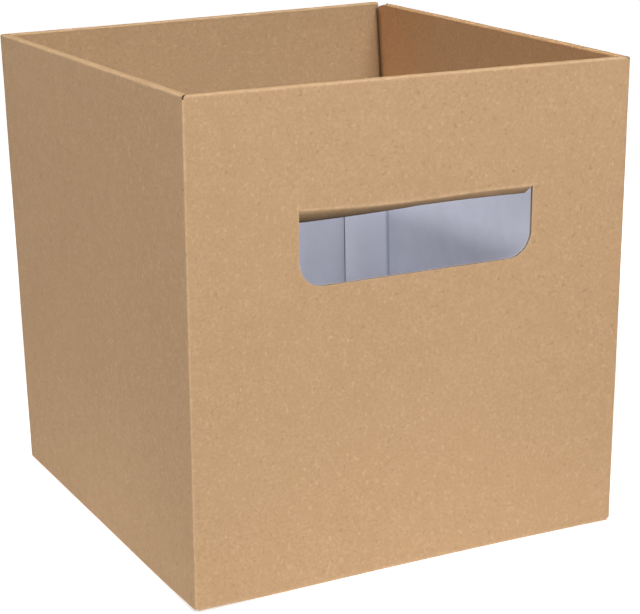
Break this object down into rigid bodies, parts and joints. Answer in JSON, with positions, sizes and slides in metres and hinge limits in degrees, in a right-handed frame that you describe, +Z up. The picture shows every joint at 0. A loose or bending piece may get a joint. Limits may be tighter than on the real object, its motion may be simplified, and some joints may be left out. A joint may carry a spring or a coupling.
{
  "type": "cardboard tray box",
  "caption": "Open-top, near-cubic box folded from one sheet of thin fluted board, with a rolled-over rim and a hand hole in its front wall.",
  "frame": {"origin": "on the surface it stands on, under the middle of the box", "axes": "+Z up, the front wall with its hand hole faces -Y, +X to the right seen from the front"},
  "size_m": [0.19, 0.194, 0.197],
  "materials": {
    "kraft_board": "matt brown kraft outside, white coated liner inside"
  },
  "bodies": {
    "root": {"tray_box": "kraft_board"}
  },
  "joints": []
}
